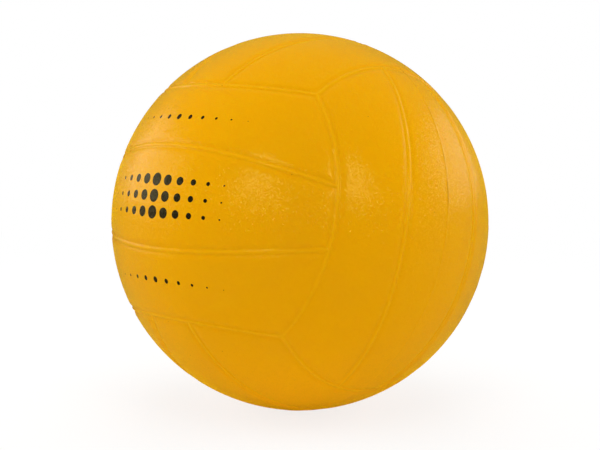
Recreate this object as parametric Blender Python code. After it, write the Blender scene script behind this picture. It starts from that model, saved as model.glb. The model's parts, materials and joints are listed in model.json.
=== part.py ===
"""A soft volleyball in metres, +Z up, centred on the origin: a one-piece shell of soft vinyl with
eighteen moulded panels, and the two rubber pieces of its needle valve."""

import math

import bmesh
import bpy
import numpy as np
from mathutils import kdtree

# Ball
GIRTH = 0.630  # tape measure round the panels of a size 4 ball
WALL = 0.0012  # at its thinnest, under the panels

# Panel pattern, as on a ball of radius 1
# A group of three strips faces along each axis, and its strips run along another one.
END_BOW = math.radians(9.6)  # a group's end bulges this far past the cube edge at mid-width
END_FLATNESS = math.radians(3.1)  # and this much more on either side of mid-width
STRIP_HALF = 0.256  # half the middle strip at mid-length
STRIP_TAPER = 0.168  # how fast the middle strip narrows towards its ends

# Moulded seam, measured out from its centreline
SEAM_HALF = 0.0042  # where the panel's rounded shoulder begins
VALLEY_DEPTH = 0.00055
BEAD_HALF = 0.0015  # from the top of the bead to the floor of the valley
BEAD_DROP = 0.0001  # the bead's top lies this far below the panels

# Resting pose, as the ball lies
LEAN = math.radians(-11.4)
TURN = math.radians(-45.7)

# Valve, in the middle of the strip group that faces local +Y
VALVE_SINK = 0.0004  # the valve's face lies below the panel, clear of a hand
CORE_LENGTH = 0.0160
CORE_HEAD_RADIUS = 0.0040
CORE_HEAD_HEIGHT = 0.0012
CORE_RADIUS = 0.0029
CORE_RIB_RISE = 0.0004
CORE_RIB_COUNT = 4
CORE_RIB_PITCH = 0.0024
CORE_NOSE_RADIUS = 0.0016
CORE_NOSE_LENGTH = 0.0025
NEEDLE_RADIUS = 0.0008
NEEDLE_DEPTH = 0.0110
NEEDLE_MOUTH_RADIUS = 0.0015
HOUSING_WALL = 0.0012
FLANGE_RADIUS = 0.0063
FLANGE_HEIGHT = 0.0012
COLLAR_RISE = 0.0016  # snaps behind the boss
COLLAR_HEIGHT = 0.0030
LEDGE_HEIGHT = 0.0012  # stops the core at the housing's inner end
LEDGE_RADIUS = 0.0018
BOSS_RADIUS = 0.0130
BOSS_DEPTH = 0.0065  # from the outside of the ball to the boss's inner face
CHAMFER = 0.0003
FIT = 0.0003  # gap between pieces

# Mesh, as squares in the middle of a strip group, on either side of a seam and in between
OUTER_SKIN = (2, 3, 3)
INNER_SKIN = (1, 1, 2)  # coarser, as it has valleys but no beads
EVEN_SHARE = 0.4  # at mid-width, lines along a strip are spread out to make even squares
EVEN_SPREAD = 3.5
SEAM_SAMPLES = 481  # points along each seam's centreline
TURNS = 30  # sides of a round piece

# Sizes that follow
RADIUS = GIRTH / math.tau
SEAM_BAND = OUTER_SKIN[1] * BEAD_HALF  # half-width of the finely divided band along a seam
CORNER = math.sqrt(1 / 3)  # strip and width coordinate where three groups meet
FACE = -VALVE_SINK
CORE_RIB_RADIUS = CORE_RADIUS + CORE_RIB_RISE
BORE_RADIUS = CORE_RIB_RADIUS + FIT
HEAD_SEAT_RADIUS = CORE_HEAD_RADIUS + FIT
HEAD_SEAT = FACE - CORE_HEAD_HEIGHT - FIT
CORE_END = FACE - CORE_LENGTH
BARREL_RADIUS = BORE_RADIUS + HOUSING_WALL
FLANGE_UNDERSIDE = FACE - FLANGE_HEIGHT
FLANGE_SEAT = FLANGE_UNDERSIDE - FIT
COLLAR_TOP = -BOSS_DEPTH - FIT
LEDGE_TOP = CORE_END - FIT
HOUSING_END = LEDGE_TOP - LEDGE_HEIGHT
BOSS_SAG = BOSS_RADIUS**2 / (2 * RADIUS)  # how far the ball falls away from the axis at the boss's rim


def clear_scene():
    for obj in list(bpy.data.objects):
        bpy.data.objects.remove(obj)


def material(name, colour, roughness):
    mat = bpy.data.materials.new(name)
    mat.use_nodes = True
    shader = mat.node_tree.nodes["Principled BSDF"]
    shader.inputs["Base Color"].default_value = (*colour, 1)
    shader.inputs["Roughness"].default_value = roughness
    shader.inputs["Metallic"].default_value = 0
    return mat


def object_from(bm, name, mat=None, parent=None):
    """Names the mesh, paints it and hangs it from its parent. Without a material it is a cutter."""
    mesh = bpy.data.meshes.new(name)
    bm.to_mesh(mesh)
    bm.free()
    obj = bpy.data.objects.new(name, mesh)
    bpy.context.scene.collection.objects.link(obj)
    obj.parent = parent
    if mat:
        mesh.materials.append(mat)
    else:
        obj.hide_render = True
        obj.display_type = "WIRE"
    return obj


def empty(name, parent=None):
    obj = bpy.data.objects.new(name, None)
    bpy.context.scene.collection.objects.link(obj)
    obj.parent = parent
    return obj


def boolean(obj, operation, other):
    modifier = obj.modifiers.new(other.name, "BOOLEAN")
    modifier.operation = operation
    modifier.solver = "EXACT"
    modifier.object = other


# Panel pattern, in a strip group's own coordinates on the unit ball: strip, width and normal


def end_angle(width):
    """Angle from a group's middle to its end, at a width coordinate."""
    share = (width / CORNER) ** 2
    return math.radians(45) + END_BOW * (1 - share) + END_FLATNESS * (1 - share) * share


def end_point(width):
    run = math.sqrt(1 - width**2)
    return run * math.sin(end_angle(width)), width, run * math.cos(end_angle(width))


def seam_width(strip):
    """Width coordinate of the seam inside a group."""
    return STRIP_HALF - STRIP_TAPER * strip**2


def side_width(strip):
    """Width coordinate of a group's long side, which is the end of the group next to it."""
    return math.sqrt(1 - strip**2) * math.cos(end_angle(strip))


def tee_width():
    """Width coordinate where the seam inside a group meets the group's end."""
    width = STRIP_HALF
    for _ in range(20):
        width = seam_width(end_point(width)[0])
    return width


TEE_WIDTH = tee_width()
TEE_SHARE = math.asin(TEE_WIDTH / math.sqrt(1 - CORNER**2)) / math.radians(45)


def rail(step, knots, seam, spread, edge, band):
    """Place of a mesh line, counted out from the middle: even steps between the seams' bands."""
    places = [0, seam - spread, seam, seam + spread, edge - band, edge]
    return math.copysign(np.interp(abs(step), knots, places), step)


def on_group(along, across, knots, band):
    """Unit point at a step along and a step across a strip group. Towards the long sides, the lines
    along gather at the ends of the next group's seams."""
    width = 0
    for _ in range(12):
        run = math.sqrt(1 - width**2)
        end = end_angle(width)
        nearness = min(1, abs(width) / CORNER)
        tee = end * np.interp(nearness, [0, 1], [EVEN_SHARE, TEE_SHARE])
        spread = band * np.interp(nearness, [0, 1], [EVEN_SPREAD, 1])
        strip = run * math.sin(rail(along, knots, tee, spread / run, end, band / run))
        seam = math.asin(seam_width(strip))
        side = math.asin(side_width(strip))
        width = math.sin(rail(across, knots, seam, band, side, band))
    return strip, width, math.sqrt(1 - strip**2 - width**2)


def placed(normal, sign, strip, width, height):
    """Turns a group's own coordinates into the ball's. Strips run along the axis before the normal."""
    point = [0, 0, 0]
    point[(normal + 2) % 3] = strip
    point[(normal + 1) % 3] = width
    point[normal] = sign * height
    return point


def group_of(spot):
    """The axis that a point of the cube's surface faces. An edge belongs to the group that ends there."""
    faced = [axis for axis in range(3) if abs(spot[axis]) > 0.999]
    ended = [axis for axis in faced if abs(spot[(axis + 2) % 3]) > 0.999]
    return (ended or faced)[0]


def seam_tree(radius):
    """Finds the nearest point of any seam's centreline."""
    reach = end_point(TEE_WIDTH)[0]
    ends = [end_point(width) for width in np.linspace(-CORNER, CORNER, SEAM_SAMPLES)]
    seams = []
    for strip in np.linspace(-reach, reach, SEAM_SAMPLES):
        width = seam_width(strip)
        seams.append((strip, width, math.sqrt(1 - strip**2 - width**2)))
    tree = kdtree.KDTree(24 * SEAM_SAMPLES)
    for normal in range(3):
        for sign in (-1, 1):
            for side in (-1, 1):
                lines = [(side * strip, width, height) for strip, width, height in ends]
                lines += [(strip, side * width, height) for strip, width, height in seams]
                for line in lines:
                    tree.insert(np.multiply(placed(normal, sign, *line), radius), 0)
    tree.balance()
    return tree


def seam_level(distance, bead):
    """Height of the moulded skin against the panels, at a distance from a seam's centreline."""
    if distance < BEAD_HALF:
        rise = math.cos(math.pi / 2 * distance / BEAD_HALF) ** 2 * bead
        return (VALLEY_DEPTH - BEAD_DROP) * rise - VALLEY_DEPTH
    share = max(0, SEAM_HALF - distance) / (SEAM_HALF - BEAD_HALF)
    return -VALLEY_DEPTH * share**2


def moulded_skin(radius, cells, bead):
    """A cube cut into squares and wrapped on the ball, so that its edges and the lines at the seams
    lie on the seams. Every point is then raised or sunk by its distance from the nearest seam."""
    middle, beside, between = cells
    knots = np.cumsum([0, middle, beside, beside, between, beside])
    half = int(knots[-1])
    bm = bmesh.new()
    bmesh.ops.create_cube(bm, size=2)
    bmesh.ops.subdivide_edges(bm, edges=bm.edges[:], cuts=2 * half - 1, use_grid_fill=True)
    tree = seam_tree(radius)
    for vert in bm.verts:
        normal = group_of(vert.co)
        along = round(half * vert.co[(normal + 2) % 3])
        across = round(half * vert.co[(normal + 1) % 3])
        point = on_group(along, across, knots, SEAM_BAND / radius)
        vert.co = placed(normal, math.copysign(1, vert.co[normal]), *point)
        vert.co *= radius
        vert.co.length += seam_level(tree.find(vert.co)[2], bead)
    for face in bm.faces:
        face.smooth = True
    return bm


# Round pieces


def lathe(profile, closed):
    """Spins (radius, height) points about Z. The outer side runs down."""
    bm = bmesh.new()
    verts = [bm.verts.new((radius, 0, height)) for radius, height in profile]
    edges = [bm.edges.new(pair) for pair in zip(verts, verts[1:])]
    if closed:
        edges.append(bm.edges.new((verts[-1], verts[0])))
    bmesh.ops.spin(
        bm,
        geom=verts + edges,
        axis=(0, 0, 1),
        cent=(0, 0, 0),
        angle=math.tau,
        steps=TURNS,
        use_merge=True,
    )
    bmesh.ops.remove_doubles(bm, verts=bm.verts[:], dist=1e-6)
    bmesh.ops.recalc_face_normals(bm, faces=bm.faces[:])
    for face in bm.faces:
        face.smooth = True
    for edge in bm.edges:
        edge.smooth = edge.calc_face_angle(0) < math.radians(35)
    return bm


def boss():
    """A pad inside the ball. Its domed top runs through the middle of the wall."""
    top = -WALL / 2
    rim = top - BOSS_SAG
    slope = (BOSS_DEPTH + rim) / 2
    return lathe(
        [
            (0, top),
            (BOSS_RADIUS / 2, top - BOSS_SAG / 4),
            (BOSS_RADIUS, rim),
            (BOSS_RADIUS, rim - slope),
            (BOSS_RADIUS - slope, -BOSS_DEPTH),
            (0, -BOSS_DEPTH),
        ],
        closed=False,
    )


def valve_seat():
    """Cuts the hole through the boss and the shallow seat of the housing's flange."""
    outside = 2 * FLANGE_HEIGHT
    inside = -BOSS_DEPTH - FLANGE_HEIGHT
    return lathe(
        [
            (0, outside),
            (FLANGE_RADIUS + FIT, outside),
            (FLANGE_RADIUS + FIT, FLANGE_SEAT),
            (BARREL_RADIUS + FIT, FLANGE_SEAT),
            (BARREL_RADIUS + FIT, inside),
            (0, inside),
        ],
        closed=False,
    )


def valve_housing():
    """A grommet: flange outside, snap collar behind the boss, stepped bore for the core."""
    return lathe(
        [
            (HEAD_SEAT_RADIUS, FACE),
            (FLANGE_RADIUS - CHAMFER, FACE),
            (FLANGE_RADIUS, FACE - CHAMFER),
            (FLANGE_RADIUS, FLANGE_UNDERSIDE),
            (BARREL_RADIUS, FLANGE_UNDERSIDE),
            (BARREL_RADIUS, COLLAR_TOP),
            (BARREL_RADIUS + COLLAR_RISE, COLLAR_TOP),
            (BARREL_RADIUS + COLLAR_RISE, COLLAR_TOP - COLLAR_HEIGHT / 3),
            (BARREL_RADIUS, COLLAR_TOP - COLLAR_HEIGHT),
            (BARREL_RADIUS, HOUSING_END + HOUSING_WALL),
            (BORE_RADIUS, HOUSING_END),
            (LEDGE_RADIUS, HOUSING_END),
            (LEDGE_RADIUS, LEDGE_TOP),
            (BORE_RADIUS, LEDGE_TOP),
            (BORE_RADIUS, HEAD_SEAT),
            (HEAD_SEAT_RADIUS, HEAD_SEAT),
        ],
        closed=True,
    )


def valve_core():
    """A ribbed plug with a headed top and a blind, funnelled hole for the pump needle."""
    underside = FACE - CORE_HEAD_HEIGHT
    rib = CORE_RIB_PITCH / 4
    profile = [
        (0, FACE - NEEDLE_DEPTH),
        (NEEDLE_RADIUS, FACE - NEEDLE_DEPTH + NEEDLE_RADIUS),
        (NEEDLE_RADIUS, FACE - NEEDLE_MOUTH_RADIUS),
        (NEEDLE_MOUTH_RADIUS, FACE),
        (CORE_HEAD_RADIUS - CHAMFER, FACE),
        (CORE_HEAD_RADIUS, FACE - CHAMFER),
        (CORE_HEAD_RADIUS, underside),
        (CORE_RADIUS, underside),
    ]
    for i in range(CORE_RIB_COUNT):
        top = underside - (i + 0.5) * CORE_RIB_PITCH
        profile += [
            (CORE_RADIUS, top),
            (CORE_RIB_RADIUS, top - rib),
            (CORE_RADIUS, top - 2 * rib),
        ]
    profile += [
        (CORE_RADIUS, CORE_END + CORE_NOSE_LENGTH),
        (CORE_NOSE_RADIUS, CORE_END),
        (0, CORE_END),
    ]
    return lathe(profile, closed=False)


def build():
    clear_scene()
    vinyl = material("soft_vinyl_yellow", (0.78, 0.36, 0.006), 0.42)
    housing_rubber = material("valve_rubber_dark_grey", (0.022, 0.021, 0.020), 0.55)
    core_rubber = material("valve_rubber_black", (0.010, 0.010, 0.010), 0.48)

    ball = empty("ball_pose")
    ball.rotation_euler = (LEAN, 0, TURN)
    valve_axis = empty("valve_axis", ball)
    valve_axis.location = (0, RADIUS, 0)
    valve_axis.rotation_euler = (-math.pi / 2, 0, 0)

    shell = object_from(moulded_skin(RADIUS, OUTER_SKIN, 1), "vinyl_shell", vinyl, ball)
    inner_skin = moulded_skin(RADIUS - WALL, INNER_SKIN, 0)
    boolean(shell, "DIFFERENCE", object_from(inner_skin, "cavity_cutter", parent=ball))
    boolean(shell, "UNION", object_from(boss(), "boss_helper", parent=valve_axis))
    boolean(shell, "DIFFERENCE", object_from(valve_seat(), "seat_cutter", parent=valve_axis))
    shell.modifiers.new("even_shading", "WEIGHTED_NORMAL")

    object_from(valve_housing(), "valve_housing", housing_rubber, valve_axis)
    object_from(valve_core(), "valve_core", core_rubber, valve_axis)


build()
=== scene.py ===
"""Looks of a soft volleyball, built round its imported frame: the moulded vinyl shell with its print, the
two rubber pieces of the needle valve, and a plain white studio. Metres, +Z up, centred on the ball."""

import json
import math

import bpy
import numpy as np
from bpy.props import FloatProperty, FloatVectorProperty, PointerProperty
from mathutils import Matrix, Vector, kdtree


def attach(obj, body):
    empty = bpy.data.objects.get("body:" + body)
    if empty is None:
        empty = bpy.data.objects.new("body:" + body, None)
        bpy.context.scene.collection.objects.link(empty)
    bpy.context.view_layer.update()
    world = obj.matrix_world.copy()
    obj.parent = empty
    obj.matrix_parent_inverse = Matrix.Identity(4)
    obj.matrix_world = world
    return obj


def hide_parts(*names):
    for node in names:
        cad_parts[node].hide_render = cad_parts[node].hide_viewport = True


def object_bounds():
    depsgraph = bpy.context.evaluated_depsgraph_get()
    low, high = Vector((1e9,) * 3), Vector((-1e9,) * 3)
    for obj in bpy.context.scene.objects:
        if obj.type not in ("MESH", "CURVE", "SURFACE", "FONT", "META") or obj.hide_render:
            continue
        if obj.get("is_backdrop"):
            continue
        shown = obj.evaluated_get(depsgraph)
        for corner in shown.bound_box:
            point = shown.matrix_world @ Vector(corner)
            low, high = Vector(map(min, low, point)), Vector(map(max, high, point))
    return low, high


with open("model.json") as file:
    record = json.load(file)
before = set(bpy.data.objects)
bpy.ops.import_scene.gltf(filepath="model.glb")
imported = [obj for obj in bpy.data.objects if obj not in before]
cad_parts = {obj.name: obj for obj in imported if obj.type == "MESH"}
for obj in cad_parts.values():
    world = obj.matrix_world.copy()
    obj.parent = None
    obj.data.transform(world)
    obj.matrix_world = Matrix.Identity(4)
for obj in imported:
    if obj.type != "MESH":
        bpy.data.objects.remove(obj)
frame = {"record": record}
CAD_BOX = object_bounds()

bl_info = {
    "name": "Soft volleyball",
    "version": (1, 0, 0),
    "blender": (4, 5, 0),
    "location": "View3D > Sidebar > Ball",
    "description": "Models a moulded soft volleyball, its needle valve and a white studio",
    "category": "Object",
}

MM = 0.001

# Panel pattern, as on a ball of radius 1
# A group of three strips faces along each axis, and its strips run along the axis before that one.
END_BOW = math.radians(9.6)  # a group's end bulges this far past the cube edge at mid-width
END_FLATNESS = math.radians(3.1)  # and this much more on either side of mid-width
STRIP_HALF = 0.256  # half the middle strip at mid-length
STRIP_TAPER = 0.168  # how fast the middle strip narrows towards its ends
CORNER = math.sqrt(1 / 3)  # strip and width coordinate where three groups meet
SEAM_SAMPLES = 1201  # points along each seam's centreline
# The shader reads this distance to paint a highlight along the bead tops.
FROM_SEAM = "from_seam"  # each point's distance from the nearest seam, kept on the mesh for its finish

# Resting pose, as the ball lies
LEAN = math.radians(-11.4)
TURN = math.radians(-45.7)
POSE = Matrix.Rotation(TURN, 4, "Z") @ Matrix.Rotation(LEAN, 4, "X")

# Mesh of the skins: squares in the middle of a strip group and between its seams, and the distances
# of the mesh lines from a seam's centreline
OUTER_MIDDLE = 9
OUTER_BETWEEN = 9
OUTER_BAND = np.array([0.35, 0.7, 1.05, 1.4, 1.8, 2.4, 3.2, 4.2, 5.4, 6.8]) * MM
INNER_MIDDLE = 3
INNER_BETWEEN = 4
INNER_BAND = np.array([2.0, 6.0]) * MM
EVEN_SHARE = 0.4  # at mid-width, lines along a strip are spread out to make even squares
EVEN_SPREAD = 3.0
TEE_ROUNDS = 20  # rounds in which the place where two seams meet settles
GRID_ROUNDS = 12  # and in which the mesh lines of a group do
BOX_GAP = 0.01 * MM  # the panels stay this far inside the frame's box
RIDGE_CUTS = (-1, -0.45, 0.45, 1)  # lines across the parting ridge, in shares of its half-width
MERGE = 0.002 * MM  # points nearer than this are one
SHARP_VINYL = math.radians(50)  # edges that turn by more than this stay sharp

# Mesh of the valve
TURNS = 72  # sides of a round piece
LIP_ARC = (86, 180)  # degrees, from along the panel to straight down into the seat
LIP_STEPS = 6
RIBS = 4  # on the core
RIB_STEPS = 8
EDGE_STEPS = 3  # in the rounding of a rubber edge
SHARP_RUBBER = math.radians(40)

# Print, in dot pitches from the middle of its group
MAIN_ROWS = 1.5  # the three main rows lie nearer than this
SIDE_ROW = 5  # the row on each strip beside them
SIDE_DOTS = 0.45  # how large the dots of that row are against the main ones

# Finish of the vinyl. A pair says where a change starts and where it ends.
# The tops of the beads get a painted highlight, a lighter yellow where the ridges catch the lamps.
BEAD_HIGHLIGHT = (0.3, 0.8)  # top of a bead, in shares of its half-width
MARK_WIDTH = 30 * MM  # handling marks
MARK_EDGE = (0.45, 0.75)
MARK_STRENGTH = 0.08
WEAR_EDGE = (0.3, 0.7)
VINYL_ROUGHNESS = (0.08, 0.15)  # untouched, and where it is handled most
INK_ROUGHNESS = 0.25
DUST_LINE = (0.2 * MM, 0.5 * MM)  # off the parting line
DUST_LEVEL = (-10 * MM, 10 * MM)  # above the ball's middle
DUST_PATCH = 14 * MM
DUST_EDGE = (0.45, 0.7)
DUST_STRENGTH = 0.4
SPECK_SPACING = 9 * MM
SPECK_EDGE = (0.02, 0.035)  # radius, in shares of that spacing
SPECK_STRENGTH = 0.6
FACET = 0.45 * MM  # grain
FACET_LEAN = 0.48

# Finish of the rubber
BLOOM_WIDTH = 3 * MM
BLOOM_EDGE = (0.45, 0.75)
BLOOM_STRENGTH = 0.12
TOOTH_WIDTH = 0.25 * MM
TOOTH_DEPTH = 0.02 * MM
TOOTH_STRENGTH = 0.4
HOUSING_ROUGHNESS = 0.55
CORE_ROUGHNESS = 0.48

# Studio
WHITE = (1, 1, 1, 1)
FLOOR_RADIUS = 4.0
FLOOR_SIDES = 96
GLOW_REACH = (0.04, 0.16)  # from the spot under the ball, where the floor's glow fades
SHADOW_REACH = (0.15, 0.9)  # and where the ball's shadow does
SHADOW_WHITE = 0.8  # how much of the white the camera sees in the shadow

# Frame
VALVE = next(mount for mount in frame["record"]["mounts"] if mount["name"] == "valve_face")
VALVE_AXIS = Vector(VALVE["axis"])
FACE_LEVEL = Vector(VALVE["pos_m"]).dot(VALVE_AXIS)  # the valve's face, from the ball's centre
VALVE_FRAME = POSE @ Matrix.Translation((0, FACE_LEVEL, 0)) @ Matrix.Rotation(math.radians(-90), 4, "X")
BOX_HALF = min((high - low) / 2 for low, high in zip(*CAD_BOX))


def linear(code):
    """Scene-linear colour of an sRGB hex code."""
    shares = [int(code[i : i + 2], 16) / 255 for i in (1, 3, 5)]
    return [s / 12.92 if s <= 0.04045 else ((s + 0.055) / 1.055) ** 2.4 for s in shares] + [1]


def length(name, description, default):
    return FloatProperty(name=name, description=description, default=default, unit="LENGTH", precision=5)


def colour(name, description, code):
    return FloatVectorProperty(
        name=name, description=description, default=linear(code), size=4, min=0, max=1, subtype="COLOR"
    )


def strength(name, description, default):
    return FloatProperty(name=name, description=description, default=default, min=0)


def watts(name, description, default):
    return FloatProperty(name=name, description=description, default=default, min=0, unit="POWER")


class BallSizes(bpy.types.PropertyGroup):
    """Sizes of the shell and its print."""

    panel_radius: length("Panel radius", "Outside of the panels", BOX_HALF - BOX_GAP)
    wall: length("Wall", "Thickness of the vinyl under the panels", 1.2 * MM)
    seam_half: length("Seam half-width", "From a seam's centreline to the panel's shoulder", 4.2 * MM)
    valley_depth: length("Valley depth", "Floor of a seam's valleys below the panels", 0.55 * MM)
    bead_half: length("Bead half-width", "From the top of a bead to the floor of its valley", 1.5 * MM)
    bead_drop: length("Bead drop", "Top of a bead below the panels", 0.1 * MM)
    ridge_half: length("Parting ridge half-width", "Half the mark where the mould halves met", 0.45 * MM)
    ridge_height: length("Parting ridge height", "How proud that mark stands", 0.12 * MM)
    dot_pitch: length("Dot pitch", "Distance between printed dots", 8.0 * MM)
    dot_radius: length("Dot radius", "The largest printed dots, in the middle of a print", 3.2 * MM)
    print_half: length("Print half-length", "Where the dots have shrunk to nothing", 46.0 * MM)


class ValveSizes(bpy.types.PropertyGroup):
    """Sizes of the valve's two rubber pieces and of their seat."""

    core_length: length("Core length", "From the face to the inner end", 16.0 * MM)
    head_radius: length("Head radius", "Outside of the core's head", 4.0 * MM)
    head_height: length("Head height", "Thickness of the core's head", 1.2 * MM)
    core_radius: length("Core radius", "The core's body between its ribs", 2.9 * MM)
    rib_rise: length("Rib rise", "How far a rib stands out", 0.4 * MM)
    rib_pitch: length("Rib pitch", "Distance between ribs", 2.4 * MM)
    nose_radius: length("Nose radius", "The core's inner end", 1.6 * MM)
    nose_length: length("Nose length", "The taper to the inner end", 2.5 * MM)
    needle_radius: length("Needle radius", "Hole for the pump needle", 0.8 * MM)
    needle_depth: length("Needle depth", "Depth of that hole", 11.0 * MM)
    mouth_radius: length("Mouth radius", "Funnel of that hole", 1.5 * MM)
    housing_wall: length("Housing wall", "Wall of the housing's barrel", 1.2 * MM)
    flange_radius: length("Flange radius", "Outside of the housing's flange", 6.3 * MM)
    flange_height: length("Flange height", "Thickness of the flange", 1.2 * MM)
    collar_rise: length("Collar rise", "How far the snap collar stands out", 1.6 * MM)
    collar_height: length("Collar height", "Length of the snap collar", 3.0 * MM)
    ledge_radius: length("Ledge radius", "Opening at the housing's inner end", 1.8 * MM)
    ledge_height: length("Ledge height", "Thickness of that end", 1.2 * MM)
    boss_radius: length("Boss radius", "Outside of the pad inside the ball", 13.0 * MM)
    boss_depth: length("Boss depth", "The pad's inner face below the valve's face", 6.1 * MM)
    lip: length("Lip", "Rounded edge of the seat in the panel", 0.5 * MM)
    soft_edge: length("Soft edge", "Rounding of the rubber's edges", 0.14 * MM)
    fit: length("Fit", "Gap between pieces", 0.3 * MM)


class BallColours(bpy.types.PropertyGroup):
    """Colours of the ball's finishes."""

    vinyl: colour("Vinyl", "The golden yellow that the vinyl is coloured with", "#e5a200")
    # Painted highlight: the lighter yellow laid along the bead tops where the ridges catch the lamps.
    bead: colour("Bead", "The vinyl on top of a bead, rubbed lighter", "#e6a602")
    shine: colour("Shine", "The vinyl's highlights", "#fff080")
    bloom: colour("Bloom", "Soft glow of the vinyl's bloom at a slant", "#ffca00")
    film: colour("Film", "Handling marks on the vinyl", "#c98c14")
    dirt: colour("Dirt", "Dust caught along the parting line", "#6b4a08")
    ink: colour("Ink", "Printed black", "#0a0807")
    housing: colour("Housing", "Moulded dark grey rubber", "#292723")
    core: colour("Core", "Moulded black rubber", "#191816")
    rubber_bloom: colour("Rubber bloom", "Grey veil on the rubber", "#8d8a84")
    floor: colour("Floor", "Studio paper", "#f2f2f2")
    floor_mirrored: colour("Mirrored floor", "Studio paper as shiny surfaces see it", "#4d4d4d")


class StudioSettings(bpy.types.PropertyGroup):
    """Camera and lamps."""

    elevation: FloatProperty(
        name="Elevation",
        description="Camera above the ball's equator",
        default=math.radians(5.8),
        subtype="ANGLE",
    )
    distance: length("Distance", "Camera from the ball's centre", 0.680)
    aim: length("Aim", "The camera looks this far above the ball's centre", -1.7 * MM)
    lens: FloatProperty(
        name="Lens", description="Focal length in millimetres", default=76.06, unit="CAMERA"
    )
    surroundings: strength("Surroundings", "Light from all round", 0.3)
    mirrored: strength("Mirrored", "What shiny surfaces see all round", 0.11)
    under: strength("Under", "Glow of the floor right under the ball", 0.42)
    front_lamps: watts("Front lamps", "Watts of each lamp in front", 2.0)
    left_panel: watts("Left panel", "Watts of the panel on the left", 2.8)
    right_panel: watts("Right panel", "Watts of the panel on the right", 2.0)
    left_fill: watts("Left fill", "Watts of the soft light on the left", 9.4)
    right_fill: watts("Right fill", "Watts of the soft light on the right", 8.0)
    high_front: watts("High front", "Watts of the soft light high in front", 9.5)
    overhead: watts("Overhead", "Watts of the soft light above", 6.2)
    behind: watts("Behind", "Watts of the soft light behind", 3.5)


# Panel pattern, in a strip group's own coordinates on the unit ball: strip, width and normal


def end_angle(width):
    """Angle from a group's middle to its end, at a width coordinate."""
    share = (width / CORNER) ** 2
    return math.radians(45) + END_BOW * (1 - share) + END_FLATNESS * (1 - share) * share


def end_point(width):
    run = np.sqrt(1 - width**2)
    return run * np.sin(end_angle(width)), width, run * np.cos(end_angle(width))


def seam_width(strip):
    """Width coordinate of the seam inside a group."""
    return STRIP_HALF - STRIP_TAPER * strip**2


def side_width(strip):
    """Width coordinate of a group's long side, which is the end of the group next to it."""
    return np.sqrt(1 - strip**2) * np.cos(end_angle(strip))


def tee_width():
    """Width coordinate where the seam inside a group meets the group's end."""
    width = STRIP_HALF
    for _ in range(TEE_ROUNDS):
        width = seam_width(end_point(width)[0])
    return width


TEE_WIDTH = tee_width()
TEE_SHARE = math.asin(TEE_WIDTH / math.sqrt(1 - CORNER**2)) / math.radians(45)


def placed(normal, sign, strip, width, height):
    """Turns a group's own coordinates into the ball's."""
    point = [None, None, None]
    point[(normal + 2) % 3] = strip
    point[(normal + 1) % 3] = width
    point[normal] = sign * height
    return np.stack(point, axis=-1)


def seam_tree(radius):
    """Finds the nearest point of any seam's centreline."""
    reach = end_point(TEE_WIDTH)[0]
    ends = end_point(np.linspace(-CORNER, CORNER, SEAM_SAMPLES))
    strip = np.linspace(-reach, reach, SEAM_SAMPLES)
    width = seam_width(strip)
    seams = (strip, width, np.sqrt(1 - strip**2 - width**2))
    tree = kdtree.KDTree(24 * SEAM_SAMPLES)
    for normal in range(3):
        for sign in (-1, 1):
            for side in (-1, 1):
                end_line = placed(normal, sign, side * ends[0], ends[1], ends[2])
                seam_line = placed(normal, sign, seams[0], side * seams[1], seams[2])
                for point in np.concatenate([end_line, seam_line]) * radius:
                    tree.insert(point, 0)
    tree.balance()
    return tree


def seam_level(distance, sizes, bead):
    """Height of the moulded skin against the panels, at a distance from a seam's centreline."""
    rise = np.cos(np.clip(distance / sizes.bead_half, 0, 1) * math.pi / 2) ** 2 * bead
    share = np.clip((sizes.seam_half - distance) / (sizes.seam_half - sizes.bead_half), 0, 1)
    return (sizes.valley_depth - sizes.bead_drop) * rise - sizes.valley_depth * share**2


class Rails:
    """Mesh lines of half a strip group, counted out from its middle. Each line's place is a sum of the
    seam's place, the edge's place, and the widths of the bands along them."""

    def __init__(self, middle, between, band):
        self.band = band[-1]
        shares = band / self.band
        lines = [(i / middle, 0, -i / middle, 0) for i in range(middle)]
        lines += [(1, 0, -share, 0) for share in shares[::-1]]
        lines += [(1, 0, share, 0) for share in [0, *shares[:-1]]]
        for i in range(between):
            part = i / between
            lines.append((1 - part, part, 1 - part, -part))
        lines += [(0, 1, 0, -share) for share in [*shares[::-1], 0]]
        self.lines = np.array(lines)
        self.half = len(lines) - 1

    def place(self, step, seam, spread, edge, band):
        line = self.lines[np.abs(step)]
        place = line[:, 0] * seam + line[:, 1] * edge + line[:, 2] * spread + line[:, 3] * band
        return np.sign(step) * place


def on_group(along, across, rails, radius):
    """Unit points at steps along and across a strip group. Towards the long sides, the lines along
    gather at the ends of the next group's seams."""
    band = rails.band / radius
    width = np.zeros(len(along))
    for _ in range(GRID_ROUNDS):
        run = np.sqrt(1 - width**2)
        end = end_angle(width)
        nearness = np.minimum(1, np.abs(width) / CORNER)
        tee = end * (EVEN_SHARE + (TEE_SHARE - EVEN_SHARE) * nearness)
        spread = band * (EVEN_SPREAD + (1 - EVEN_SPREAD) * nearness)
        strip = run * np.sin(rails.place(along, tee, spread / run, end, band / run))
        seam = np.arcsin(seam_width(strip))
        side = np.arcsin(side_width(strip))
        width = np.sin(rails.place(across, seam, band, side, band))
    return strip, width, np.sqrt(1 - strip**2 - width**2)


# Modelling


def select_only(obj):
    bpy.ops.object.select_all(action="DESELECT")
    bpy.context.view_layer.objects.active = obj
    obj.select_set(True)


def edit(obj):
    """Selects all of one piece's mesh in edit mode."""
    select_only(obj)
    bpy.ops.object.mode_set(mode="EDIT")
    bpy.ops.mesh.select_all(action="SELECT")


def finish_edit():
    bpy.ops.object.mode_set(mode="OBJECT")


def points_of(obj):
    points = np.empty(3 * len(obj.data.vertices))
    obj.data.vertices.foreach_get("co", points)
    return points.reshape(-1, 3)


def set_points(obj, points):
    obj.data.vertices.foreach_set("co", points.ravel())
    obj.data.update()


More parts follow.
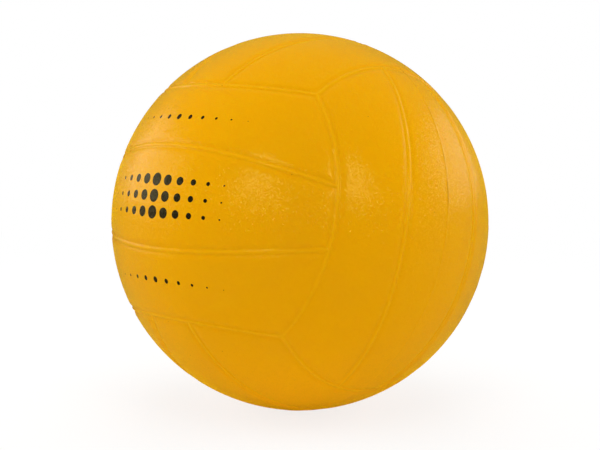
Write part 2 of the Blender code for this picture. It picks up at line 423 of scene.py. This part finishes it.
def apply_modifier(obj, kind, **settings):
    select_only(obj)
    modifier = obj.modifiers.new(kind.title(), kind)
    for name, value in settings.items():
        setattr(modifier, name, value)
    bpy.ops.object.modifier_apply(modifier=modifier.name)


def combine(obj, operation, other):
    """Applies a Boolean with a helper, which is then removed."""
    apply_modifier(obj, "BOOLEAN", operation=operation, solver="EXACT", object=other)
    bpy.data.objects.remove(other)


def clear_slivers(piece):
    """Merges what a Boolean leaves doubled, and cuts its many-sided faces into even triangles."""
    edit(piece)
    bpy.ops.mesh.remove_doubles(threshold=MERGE)
    bpy.ops.mesh.dissolve_degenerate(threshold=MERGE)
    bpy.ops.mesh.select_all(action="DESELECT")
    bpy.ops.mesh.select_mode(type="FACE")
    bpy.ops.mesh.select_face_by_sides(number=4, type="GREATER")
    bpy.ops.mesh.quads_convert_to_tris(quad_method="BEAUTY", ngon_method="BEAUTY")
    bpy.ops.mesh.select_mode(type="VERT")
    finish_edit()


def moulded_skin(name, radius, rails, sizes, bead):
    """A cube cut into squares and wrapped on the ball, so that its edges and the lines at the seams
    lie on the seams. Every point is then raised or sunk by its distance from the nearest seam."""
    bpy.ops.object.select_all(action="DESELECT")
    bpy.ops.mesh.primitive_cube_add(size=2, calc_uvs=False)
    skin = bpy.context.object
    skin.name = name
    edit(skin)
    bpy.ops.mesh.subdivide(number_cuts=2 * rails.half - 1)
    finish_edit()

    spots = points_of(skin)
    steps = np.rint(spots * rails.half).astype(int)
    faced = np.abs(steps) == rails.half
    ended = faced & np.roll(faced, 1, axis=1)  # an edge belongs to the group that ends there
    normals = np.where(ended.any(axis=1), ended.argmax(axis=1), faced.argmax(axis=1))
    points = np.empty_like(spots)
    for normal in range(3):
        own = normals == normal
        group = steps[own]
        point = on_group(group[:, (normal + 2) % 3], group[:, (normal + 1) % 3], rails, radius)
        points[own] = placed(normal, np.sign(group[:, normal]), *point) * radius
    tree = seam_tree(radius)
    distances = np.array([tree.find(point)[2] for point in points])
    points *= (1 + seam_level(distances, sizes, bead) / radius)[:, None]
    set_points(skin, points)
    return skin


def add_parting_ridge(skin, sizes):
    """Cuts lines on both sides of the plane where the mould halves met, and raises what lies between."""
    for share in RIDGE_CUTS:
        edit(skin)
        bpy.ops.mesh.bisect(plane_co=(0, share * sizes.ridge_half, 0), plane_no=(0, 1, 0))
        finish_edit()
    points = points_of(skin)
    share = np.clip(np.abs(points[:, 1]) / sizes.ridge_half, 0, 1)
    rise = sizes.ridge_height * np.cos(share * math.pi / 2) ** 2
    reach = np.linalg.norm(points, axis=1)
    set_points(skin, points * ((reach + rise) / reach)[:, None])


def turned(name, profile, closed=False):
    """Draws (radius, height) points as a chain of edges and spins it about Z."""
    bpy.ops.object.select_all(action="DESELECT")
    bpy.ops.mesh.primitive_plane_add(size=MM, calc_uvs=False)
    piece = bpy.context.object
    piece.name = name
    edit(piece)
    bpy.ops.mesh.merge(type="CENTER")
    at = Vector((0, 0, 0))
    for i, (radius, height) in enumerate([*profile, *profile[:closed]]):
        step = Vector((radius, 0, height)) - at
        at += step
        if i == 0:
            bpy.ops.transform.translate(value=step)
        else:
            bpy.ops.mesh.extrude_vertices_move(TRANSFORM_OT_translate={"value": step})
    bpy.ops.mesh.select_all(action="SELECT")
    bpy.ops.mesh.spin(steps=TURNS, angle=math.tau, center=(0, 0, 0), axis=(0, 0, 1))
    bpy.ops.mesh.select_all(action="SELECT")
    bpy.ops.mesh.remove_doubles(threshold=MERGE)
    bpy.ops.mesh.normals_make_consistent(inside=False)
    finish_edit()
    return piece


def arc(centre, radius, start, stop, steps):
    """Points of a round stretch of a profile, with angles in degrees from +radius towards +height."""
    angles = np.radians(np.linspace(start, stop, steps + 1))
    return [(centre[0] + radius * math.cos(a), centre[1] + radius * math.sin(a)) for a in angles]


def soften(piece, valve):
    """Rounds the edges of a rubber piece."""
    apply_modifier(
        piece,
        "BEVEL",
        width=valve.soft_edge,
        segments=EDGE_STEPS,
        limit_method="ANGLE",
        angle_limit=SHARP_RUBBER,
    )


def put_in_place(piece, matrix):
    """Moves a piece to its place in the frame, and puts that place into its mesh."""
    select_only(piece)
    piece.matrix_world = matrix
    bpy.ops.object.transform_apply(location=True, rotation=True, scale=True)


def finish_piece(piece, material, body, node, sharp):
    """Shades and paints a piece, and fixes it to the body of the node that it stands for."""
    select_only(piece)
    bpy.ops.object.shade_smooth_by_angle(angle=sharp)
    piece.data.materials.clear()
    piece.data.materials.append(material)
    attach(piece, body)
    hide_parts(node)


# Finishes


def add(tree, kind, inputs=None, **settings):
    """Adds a node with its settings, and links or fills its inputs."""
    node = tree.nodes.new(kind)
    for name, value in settings.items():
        setattr(node, name, value)
    for socket, value in (inputs or {}).items():
        if isinstance(value, bpy.types.NodeSocket):
            tree.links.new(value, node.inputs[socket])
        else:
            node.inputs[socket].default_value = value
    return node


def new_material(name):
    material = bpy.data.materials.new(name)
    material.use_nodes = True
    return material, material.node_tree, material.node_tree.nodes["Principled BSDF"]


def fill(shader, values):
    """Sets constants on a shader's own sockets."""
    for name, value in values.items():
        shader.inputs[name].default_value = value


def calc(tree, operation, *values):
    """One step of arithmetic on sockets and numbers."""
    return add(tree, "ShaderNodeMath", dict(enumerate(values)), operation=operation).outputs[0]


def vector_calc(tree, operation, *values):
    return add(tree, "ShaderNodeVectorMath", dict(enumerate(values)), operation=operation).outputs[0]


def ramp(tree, value, start, stop, low, high):
    """Runs from low to high while a value runs from start to stop."""
    return add(tree, "ShaderNodeMapRange", {0: value, 1: start, 2: stop, 3: low, 4: high}).outputs[0]


def patches(tree, place, width, detail):
    """Soft patches of about one width."""
    inputs = {"Vector": place, "Scale": 1 / width, "Detail": detail}
    return add(tree, "ShaderNodeTexNoise", inputs).outputs[0]


def blend(tree, share, under, over):
    """Lays a share of one colour over another."""
    inputs = {"Factor": share, "A": under, "B": over}
    return add(tree, "ShaderNodeMix", inputs, data_type="RGBA").outputs["Result"]


def seen_directly(tree, path):
    """One where the camera sees a surface, by itself or through a clear material."""
    return calc(tree, "MAXIMUM", path.outputs["Is Camera Ray"], path.outputs["Is Transmission Ray"])


def print_mask(tree, place, turn, beside, sizes):
    """Where a print's ink is: three rows of dots along the middle strip, largest at the middle of the
    group, and one row of smaller dots on each strip beside it. Turn lays the group's strips along X and
    its normal along Z."""
    pitch = sizes.dot_pitch
    flat = add(tree, "ShaderNodeMapping", {"Vector": place, "Rotation": turn}).outputs[0]
    dots = add(
        tree,
        "ShaderNodeTexVoronoi",
        {"Vector": flat, "Scale": 1 / pitch, "Randomness": 0},
        voronoi_dimensions="2D",
    )
    middle = add(tree, "ShaderNodeSeparateXYZ", {0: dots.outputs["Position"]})
    out = calc(tree, "ABSOLUTE", middle.outputs[0])
    up = calc(tree, "ABSOLUTE", middle.outputs[1])
    swell = ramp(tree, out, 0.0, sizes.print_half, sizes.dot_radius / pitch, 0.0)
    main_rows = calc(tree, "LESS_THAN", up, MAIN_ROWS * pitch)
    side_rows = calc(tree, "COMPARE", up, SIDE_ROW * pitch, pitch / 2)
    share = calc(tree, "MULTIPLY_ADD", side_rows, beside, main_rows)
    radius = calc(tree, "MULTIPLY", swell, share)
    inside = calc(tree, "LESS_THAN", dots.outputs["Distance"], radius)
    facing = add(tree, "ShaderNodeSeparateXYZ", {0: flat})
    front = calc(tree, "GREATER_THAN", facing.outputs[2], 0.0)
    return calc(tree, "MULTIPLY", inside, front)


def soft_vinyl(colours, sizes):
    """Plasticised PVC, moulded against a blasted tool and pad printed. Its colour goes all through and
    lets a little light in, so shadows stay warm. Its shine is golden, and so is the thin bloom that
    glows on it at a slant. The blasted grain breaks highlights into fine sparkle."""
    material, tree, shader = new_material("soft_vinyl_moulded")
    place = add(tree, "ShaderNodeTexCoord").outputs["Object"]
    to_ball = POSE.to_3x3().transposed()

    # Painted highlight: the tops of the beads are painted a lighter yellow where the thin ridges catch
    # the lamps
    from_seam = add(tree, "ShaderNodeAttribute", attribute_name=FROM_SEAM).outputs["Fac"]
    edge = [share * sizes.bead_half for share in BEAD_HIGHLIGHT]
    bead_highlight = blend(tree, ramp(tree, from_seam, *edge, 1.0, 0.0), colours.vinyl, colours.bead)

    # Handling marks, very faint
    marks = patches(tree, place, MARK_WIDTH, 5)
    handled = blend(tree, ramp(tree, marks, *MARK_EDGE, 0.0, MARK_STRENGTH), bead_highlight, colours.film)

    # Dust in patches along the parting line on the ball's upper half, and specks of 0.5 mm
    halves = add(tree, "ShaderNodeMapping", {"Vector": place, "Rotation": to_ball.to_euler()})
    apart = add(tree, "ShaderNodeSeparateXYZ", {0: halves.outputs[0]})
    line = ramp(tree, calc(tree, "ABSOLUTE", apart.outputs[1]), *DUST_LINE, 1.0, 0.0)
    caught = ramp(tree, patches(tree, place, DUST_PATCH, 3), *DUST_EDGE, 0.0, DUST_STRENGTH)
    level = add(tree, "ShaderNodeSeparateXYZ", {0: place}).outputs[2]
    settled = calc(tree, "MULTIPLY", caught, ramp(tree, level, *DUST_LEVEL, 0.0, 1.0))
    streak = calc(tree, "MULTIPLY", line, settled)
    spots = add(tree, "ShaderNodeTexVoronoi", {"Vector": place, "Scale": 1 / SPECK_SPACING})
    speck = ramp(tree, spots.outputs["Distance"], *SPECK_EDGE, SPECK_STRENGTH, 0.0)
    dusty = blend(tree, calc(tree, "MAXIMUM", streak, speck), handled, colours.dirt)

    # Ink on the two printed groups, duller than the vinyl. The print on top has no rows beside it.
    towards_print = Matrix(((1, 0, 0), (0, 0, 1), (0, -1, 0)))
    towards_top = Matrix(((0, 1, 0), (-1, 0, 0), (0, 0, 1)))
    masks = [
        print_mask(tree, place, (axes @ to_ball).to_euler(), beside, sizes)
        for axes, beside in ((towards_print, SIDE_DOTS), (towards_top, 0.0))
    ]
    ink = calc(tree, "MAXIMUM", *masks)
    tree.links.new(blend(tree, ink, dusty, colours.ink), shader.inputs["Base Color"])
    worn = ramp(tree, marks, *WEAR_EDGE, *VINYL_ROUGHNESS)
    dull = add(tree, "ShaderNodeMix", {"Factor": ink, "A": worn, "B": INK_ROUGHNESS})
    tree.links.new(dull.outputs["Result"], shader.inputs["Roughness"])

    # Blasted grain: facets that each lean their own way, most of them by less than 7 degrees. The
    # tool's grit leaves them about 0.3 mm wide, and they are drawn at 0.45 mm so that they show.
    facets = add(tree, "ShaderNodeTexVoronoi", {"Vector": place, "Scale": 1 / FACET}).outputs["Color"]
    either_way = vector_calc(tree, "SUBTRACT", facets, (0.5, 0.5, 0.5))
    third = {"Vector": facets, "Axis": (1, 1, 1), "Angle": math.tau / 3}
    amount = add(tree, "ShaderNodeVectorRotate", third).outputs[0]
    leans = vector_calc(tree, "MULTIPLY", either_way, amount)
    smooth = add(tree, "ShaderNodeNewGeometry").outputs["Normal"]
    leaning = vector_calc(tree, "MULTIPLY_ADD", leans, [FACET_LEAN] * 3, smooth)
    tree.links.new(vector_calc(tree, "NORMALIZE", leaning), shader.inputs["Normal"])

    fill(
        shader,
        {
            "IOR": 1.53,
            "Specular Tint": colours.shine,
            "Sheen Weight": 1.0,
            "Sheen Roughness": 0.3,
            "Sheen Tint": colours.bloom,
            "Subsurface Weight": 0.4,
            "Subsurface Radius": (1.0, 0.5, 0.1),
            "Subsurface Scale": 1.2 * MM,
        },
    )
    return material


def moulded_rubber(name, shade, bloom, roughness):
    """Carbon-filled rubber from a steel mould: nearly black and dull, with a fine even tooth and a grey
    bloom in patches."""
    material, tree, shader = new_material(name)
    place = add(tree, "ShaderNodeTexCoord").outputs["Object"]
    veil = ramp(tree, patches(tree, place, BLOOM_WIDTH, 5), *BLOOM_EDGE, 0.0, BLOOM_STRENGTH)
    tree.links.new(blend(tree, veil, shade, bloom), shader.inputs["Base Color"])
    tooth = patches(tree, place, TOOTH_WIDTH, 2)
    relief = {"Height": tooth, "Strength": TOOTH_STRENGTH, "Distance": TOOTH_DEPTH}
    tree.links.new(add(tree, "ShaderNodeBump", relief).outputs[0], shader.inputs["Normal"])
    fill(shader, {"Roughness": roughness, "IOR": 1.52})
    return material


# Pieces


class BALL_OT_vinyl_shell(bpy.types.Operator):
    """Models the moulded shell: skin, parting ridge, hollow, boss and the valve's seat"""

    bl_idname = "ball.vinyl_shell"
    bl_label = "Vinyl shell"

    def execute(self, context):
        sizes = context.scene.ball_sizes
        valve = context.scene.valve_sizes
        outer = Rails(OUTER_MIDDLE, OUTER_BETWEEN, OUTER_BAND)
        inner = Rails(INNER_MIDDLE, INNER_BETWEEN, INNER_BAND)
        shell = moulded_skin("moulded_shell", sizes.panel_radius, outer, sizes, bead=1)
        add_parting_ridge(shell, sizes)
        hollow = moulded_skin("hollow", sizes.panel_radius - sizes.wall, inner, sizes, bead=0)
        put_in_place(shell, POSE)
        put_in_place(hollow, POSE)
        combine(shell, "DIFFERENCE", hollow)
        combine(shell, "UNION", self.boss(sizes, valve))
        combine(shell, "DIFFERENCE", self.seat(sizes, valve))
        clear_slivers(shell)
        self.measure_seams(shell, sizes)
        vinyl = soft_vinyl(context.scene.ball_colours, sizes)
        finish_piece(shell, vinyl, "ball", "vinyl_shell", SHARP_VINYL)
        return {"FINISHED"}

    def measure_seams(self, shell, sizes):
        """Keeps each point's distance from the nearest seam as an attribute of the mesh."""
        tree = seam_tree(sizes.panel_radius)
        back = np.array(POSE.to_3x3())
        distances = [tree.find(point)[2] for point in points_of(shell) @ back]
        shell.data.attributes.new(FROM_SEAM, "FLOAT", "POINT").data.foreach_set("value", distances)

    def boss(self, sizes, valve):
        """A pad inside the ball. Its domed top runs through the middle of the wall."""
        top = sizes.panel_radius - FACE_LEVEL - sizes.wall / 2
        sag = valve.boss_radius**2 / (2 * sizes.panel_radius)
        slope = (valve.boss_depth + top - sag) / 2
        boss = turned(
            "boss",
            [
                (0, top),
                (valve.boss_radius / 2, top - sag / 4),
                (valve.boss_radius, top - sag),
                (valve.boss_radius, top - sag - slope),
                (valve.boss_radius - slope, -valve.boss_depth),
                (0, -valve.boss_depth),
            ],
        )
        put_in_place(boss, VALVE_FRAME)
        return boss

    def seat(self, sizes, valve):
        """Cuts the hole through the boss and the flange's seat, whose edge in the panel is rounded."""
        hole = valve.core_radius + valve.rib_rise + valve.housing_wall + 2 * valve.fit
        recess = valve.flange_radius + valve.fit
        edge = recess + valve.lip
        level = math.sqrt(sizes.panel_radius**2 - edge**2) - FACE_LEVEL
        floor = -valve.flange_height - valve.fit
        outside = 2 * valve.flange_height
        inside = -valve.boss_depth - valve.flange_height
        seat = turned(
            "seat",
            [
                (0, outside),
                (edge + valve.lip, outside),
                (edge + valve.lip, level + valve.lip / 8),
                *arc((edge, level - valve.lip), valve.lip, *LIP_ARC, LIP_STEPS),
                (recess, floor),
                (hole, floor),
                (hole, inside),
                (0, inside),
            ],
        )
        put_in_place(seat, VALVE_FRAME)
        return seat


class BALL_OT_valve_housing(bpy.types.Operator):
    """Models the valve's housing: a grommet with a flange outside and a snap collar behind the boss"""

    bl_idname = "ball.valve_housing"
    bl_label = "Valve housing"

    def execute(self, context):
        valve = context.scene.valve_sizes
        bore = valve.core_radius + valve.rib_rise + valve.fit
        barrel = bore + valve.housing_wall
        head_seat = valve.head_radius + valve.fit
        collar_top = -valve.boss_depth - valve.fit
        ledge_top = -valve.core_length - valve.fit
        end = ledge_top - valve.ledge_height
        housing = turned(
            "housing_grommet",
            [
                (head_seat, 0),
                (valve.flange_radius, 0),
                (valve.flange_radius, -valve.flange_height),
                (barrel, -valve.flange_height),
                (barrel, collar_top),
                (barrel + valve.collar_rise, collar_top),
                (barrel + valve.collar_rise, collar_top - valve.collar_height / 3),
                (barrel, collar_top - valve.collar_height),
                (barrel, end + valve.housing_wall),
                (bore, end),
                (valve.ledge_radius, end),
                (valve.ledge_radius, ledge_top),
                (bore, ledge_top),
                (bore, -valve.head_height - valve.fit),
                (head_seat, -valve.head_height - valve.fit),
            ],
            closed=True,
        )
        soften(housing, valve)
        put_in_place(housing, VALVE_FRAME)
        colours = context.scene.ball_colours
        rubber = moulded_rubber(
            "dark_grey_rubber_moulded", colours.housing, colours.rubber_bloom, HOUSING_ROUGHNESS
        )
        finish_piece(housing, rubber, "ball", "valve_housing", SHARP_RUBBER)
        return {"FINISHED"}


class BALL_OT_valve_core(bpy.types.Operator):
    """Models the valve's core: a ribbed plug with a head and a funnelled hole for the pump needle"""

    bl_idname = "ball.valve_core"
    bl_label = "Valve core"

    def execute(self, context):
        valve = context.scene.valve_sizes
        needle_end = -valve.needle_depth
        rib_length = valve.rib_pitch / 2
        profile = [
            (0, needle_end),
            (valve.needle_radius, needle_end + valve.needle_radius),
            (valve.needle_radius, -valve.mouth_radius),
            (valve.mouth_radius, 0),
            (valve.head_radius, 0),
            (valve.head_radius, -valve.head_height),
            (valve.core_radius, -valve.head_height),
        ]
        first = -valve.head_height - rib_length
        for rib in range(RIBS):
            top = first - rib * valve.rib_pitch
            for i in range(RIB_STEPS + 1):
                rise = valve.rib_rise * math.sin(math.pi * i / RIB_STEPS)
                profile.append((valve.core_radius + rise, top - rib_length * i / RIB_STEPS))
        profile += [
            (valve.core_radius, valve.nose_length - valve.core_length),
            (valve.nose_radius, -valve.core_length),
            (0, -valve.core_length),
        ]
        core = turned("core_plug", profile)
        soften(core, valve)
        put_in_place(core, VALVE_FRAME)
        colours = context.scene.ball_colours
        rubber = moulded_rubber(
            "black_rubber_moulded", colours.core, colours.rubber_bloom, CORE_ROUGHNESS
        )
        finish_piece(core, rubber, "core", "valve_core", SHARP_RUBBER)
        return {"FINISHED"}


class BALL_OT_studio(bpy.types.Operator):
    """Sets up the floor, the surroundings, the lamps and the camera"""

    bl_idname = "ball.studio"
    bl_label = "Studio"

    def execute(self, context):
        studio = context.scene.ball_studio
        self.floor(context, studio)
        self.surroundings(context, studio)
        # Azimuth and elevation in degrees, distance, width, height, watts, and whether it is mirrored
        lamps = (
            ("front_left", -26, 23.5, 1.6, 0.4, 0.5, studio.front_lamps, True),
            ("front_right", 32, 23.5, 1.6, 0.4, 0.5, studio.front_lamps, True),
            ("left_panel", -107, 17, 1.5, 1.45, 0.7, studio.left_panel, True),
            ("right_panel", 114, 17, 1.5, 1.25, 0.62, studio.right_panel, True),
            ("left_fill", -100, 20, 1.5, 1.0, 1.0, studio.left_fill, False),
            ("right_fill", 100, 20, 1.5, 1.0, 1.0, studio.right_fill, False),
            ("high_front", 0, 60, 1.5, 1.0, 1.0, studio.high_front, False),
            ("overhead", 180, 80, 1.5, 1.0, 1.0, studio.overhead, False),
            ("behind", 180, 40, 1.5, 1.0, 1.0, studio.behind, False),
        )
        for lamp in lamps:
            self.lamp(context, *lamp)
        self.camera(context, studio)
        context.scene.view_settings.view_transform = "Standard"
        return {"FINISHED"}

    def direction(self, azimuth, elevation):
        """Towards a lamp or the camera. Azimuth 0 is in front, and 90 to the right."""
        run = math.cos(elevation)
        return Vector((run * math.sin(azimuth), -run * math.cos(azimuth), math.sin(elevation)))

    def lamp(self, context, name, azimuth, elevation, distance, width, height, watts, mirrored):
        """Adds a lamp that shiny surfaces mirror, or a soft light that they don't."""
        data = bpy.data.lights.new(name, "AREA")
        data.shape = "RECTANGLE"
        data.size = width
        data.size_y = height
        data.energy = watts
        lamp = bpy.data.objects.new(name, data)
        lamp.visible_glossy = mirrored
        context.scene.collection.objects.link(lamp)
        towards = self.direction(math.radians(azimuth), math.radians(elevation))
        lamp.location = distance * towards
        lamp.rotation_euler = towards.to_track_quat("Z", "Y").to_euler()

    def camera(self, context, studio):
        data = bpy.data.cameras.new("camera")
        data.lens = studio.lens
        camera = bpy.data.objects.new("camera", data)
        context.scene.collection.objects.link(camera)
        camera.location = studio.distance * self.direction(0, studio.elevation)
        back = camera.location - Vector((0, 0, studio.aim))
        camera.rotation_euler = back.to_track_quat("Z", "Y").to_euler()
        context.scene.camera = camera

    def surroundings(self, context, studio):
        """Even soft light. The camera and clear materials see white, and the satin vinyl mirrors a
        dimmer room, as it does between soft boxes."""
        world = bpy.data.worlds.new("white_studio")
        context.scene.world = world
        world.use_nodes = True
        tree = world.node_tree
        tree.nodes.clear()
        path = add(tree, "ShaderNodeLightPath")
        glossy = path.outputs["Is Glossy Ray"]
        levels = {"Factor": glossy, "A": studio.surroundings, "B": studio.mirrored}
        dimmed = add(tree, "ShaderNodeMix", levels).outputs[0]
        level = add(tree, "ShaderNodeMix", {"Factor": seen_directly(tree, path), "A": dimmed, "B": 1.0})
        light = add(tree, "ShaderNodeBackground", {"Color": WHITE, "Strength": level.outputs[0]})
        add(tree, "ShaderNodeOutputWorld", {0: light.outputs[0]})

    def floor(self, context, studio):
        """A round of studio paper that the ball lies on. The camera sees it white, apart from the ball's
        shadow. It is clear from below, so that the ball's underside can be looked at."""
        bpy.ops.object.select_all(action="DESELECT")
        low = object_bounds()[0].z
        bpy.ops.mesh.primitive_circle_add(
            vertices=FLOOR_SIDES, radius=FLOOR_RADIUS, fill_type="NGON", location=(0, 0, low)
        )
        floor = context.object
        floor.name = "floor"
        material, tree, shader = new_material("studio_paper")
        colours = context.scene.ball_colours
        path = add(tree, "ShaderNodeLightPath")
        place = add(tree, "ShaderNodeTexCoord").outputs["Object"]
        away = add(tree, "ShaderNodeVectorMath", {0: place}, operation="LENGTH").outputs["Value"]
        paper = blend(tree, path.outputs["Is Glossy Ray"], colours.floor, colours.floor_mirrored)
        tree.links.new(paper, shader.inputs["Base Color"])

        # Lit from below where the ball lies, as on a light table
        lit = ramp(tree, away, *GLOW_REACH, studio.under, 0.0)
        under = calc(tree, "MULTIPLY", lit, path.outputs["Is Diffuse Ray"])
        tree.links.new(under, shader.inputs["Emission Strength"])
        fill(shader, {"Roughness": 0.9, "Specular IOR Level": 0.2, "Emission Color": WHITE})

        white = add(tree, "ShaderNodeEmission", {"Color": WHITE, "Strength": 1.0})
        clean = ramp(tree, away, *SHADOW_REACH, SHADOW_WHITE, 1.0)
        share = calc(tree, "MULTIPLY", seen_directly(tree, path), clean)
        mix = add(tree, "ShaderNodeMixShader", {0: share, 1: shader.outputs[0], 2: white.outputs[0]})
        side = add(tree, "ShaderNodeNewGeometry").outputs["Backfacing"]
        clear = add(tree, "ShaderNodeBsdfTransparent")
        both = add(tree, "ShaderNodeMixShader", {0: side, 1: mix.outputs[0], 2: clear.outputs[0]})
        tree.links.new(both.outputs[0], tree.nodes["Material Output"].inputs[0])
        floor.data.materials.append(material)
        floor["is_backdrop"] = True


class BALL_PT_pieces(bpy.types.Panel):
    """Lists the ball's pieces, sizes and colours"""

    bl_idname = "BALL_PT_pieces"
    bl_label = "Soft volleyball"
    bl_space_type = "VIEW_3D"
    bl_region_type = "UI"
    bl_category = "Ball"

    def draw(self, context):
        for operator in OPERATORS:
            self.layout.operator(operator.bl_idname)
        for name in GROUPS:
            group = getattr(context.scene, name)
            for prop in group.bl_rna.properties:
                if prop.identifier not in ("name", "rna_type"):
                    self.layout.prop(group, prop.identifier)


GROUPS = {
    "ball_sizes": BallSizes,
    "valve_sizes": ValveSizes,
    "ball_colours": BallColours,
    "ball_studio": StudioSettings,
}
OPERATORS = (BALL_OT_vinyl_shell, BALL_OT_valve_housing, BALL_OT_valve_core, BALL_OT_studio)
CLASSES = (*GROUPS.values(), *OPERATORS, BALL_PT_pieces)


def register():
    for cls in CLASSES:
        bpy.utils.register_class(cls)
    for name, group in GROUPS.items():
        setattr(bpy.types.Scene, name, PointerProperty(type=group))


def unregister():
    for name in GROUPS:
        delattr(bpy.types.Scene, name)
    for cls in reversed(CLASSES):
        bpy.utils.unregister_class(cls)


def main():
    register()
    bpy.ops.ball.vinyl_shell()
    bpy.ops.ball.valve_housing()
    bpy.ops.ball.valve_core()
    bpy.ops.ball.studio()
    boxes = {"cad": CAD_BOX, "visual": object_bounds()}
    {name: [list(corner) for corner in box] for name, box in boxes.items()}


if __name__ == "__main__":
    main()
